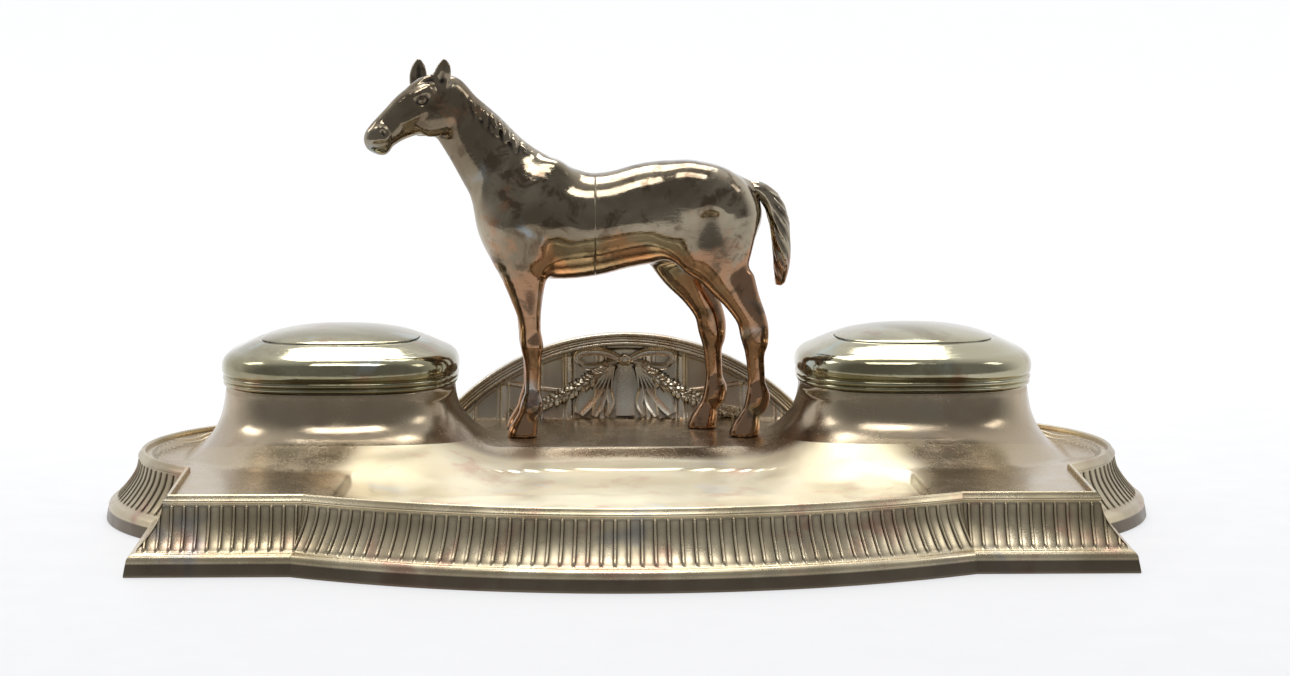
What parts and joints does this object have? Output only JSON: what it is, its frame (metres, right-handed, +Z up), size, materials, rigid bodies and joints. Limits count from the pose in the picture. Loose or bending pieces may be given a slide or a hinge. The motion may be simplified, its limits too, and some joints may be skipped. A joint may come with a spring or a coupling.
{
  "type": "double desk inkstand",
  "caption": "Bow-fronted silver-plated desk inkstand with hinged cushion-shaped inkwells, glass liners, a pen tray, an arched gallery and a standing horse.",
  "frame": {"origin": "centre of the footprint, on the surface the foot stands on", "axes": "+X to the right seen from the front, +Y to the back, +Z up"},
  "size_m": [0.384, 0.253, 0.1671],
  "materials": {
    "plate_silver": "polished silver plate over base metal, lightly tarnished",
    "border_silver": "oxidised silver plate with worn bright edges",
    "lid_silver": "polished silver plate with olive-grey tarnish",
    "gallery_silver": "satin silver plate with dark recesses",
    "horse_bronze": "gunmetal-tarnished plated casting worn to copper brown",
    "brass_hardware": "dull brass",
    "liner_glass": "clear pressed glass"
  },
  "bodies": {
    "stand": {"fluted_border": "border_silver", "deck_plate": "plate_silver", "left_well_housing": "plate_silver", "right_well_housing": "plate_silver", "left_liner_collar": "brass_hardware", "right_liner_collar": "brass_hardware", "left_glass_liner": "liner_glass", "right_glass_liner": "liner_glass", "left_hinge_body_leaf": "plate_silver", "right_hinge_body_leaf": "plate_silver", "left_hinge_pin": "brass_hardware", "right_hinge_pin": "brass_hardware", "left_garland": "gallery_silver", "right_garland": "gallery_silver", "gallery_plate": "gallery_silver", "gallery_rim": "gallery_silver", "ribbon_bow": "gallery_silver", "leaf_fan": "gallery_silver", "horse_forehand": "horse_bronze", "horse_hindquarters": "horse_bronze", "horse_tail": "horse_bronze", "near_fore_stud": "brass_hardware", "near_fore_washer": "brass_hardware", "near_fore_nut": "brass_hardware", "far_fore_stud": "brass_hardware", "far_fore_washer": "brass_hardware", "far_fore_nut": "brass_hardware", "near_hind_stud": "brass_hardware", "near_hind_washer": "brass_hardware", "near_hind_nut": "brass_hardware", "far_hind_stud": "brass_hardware", "far_hind_washer": "brass_hardware", "far_hind_nut": "brass_hardware"},
    "left_lid": {"left_lid_shell": "lid_silver", "left_lid_dome": "lid_silver", "left_hinge_lid_leaf": "lid_silver"},
    "right_lid": {"right_lid_shell": "lid_silver", "right_lid_dome": "lid_silver", "right_hinge_lid_leaf": "lid_silver"}
  },
  "joints": [
    {"name": "left_lid_hinge", "type": "hinge", "parent": "stand", "child": "left_lid", "pos_m": [-0.107, 0.0842, 0.0472], "axis": [-1, 0, 0], "range_deg": [0, 100]},
    {"name": "right_lid_hinge", "type": "hinge", "parent": "stand", "child": "right_lid", "pos_m": [0.107, 0.0842, 0.0472], "axis": [-1, 0, 0], "range_deg": [0, 100]}
  ]
}
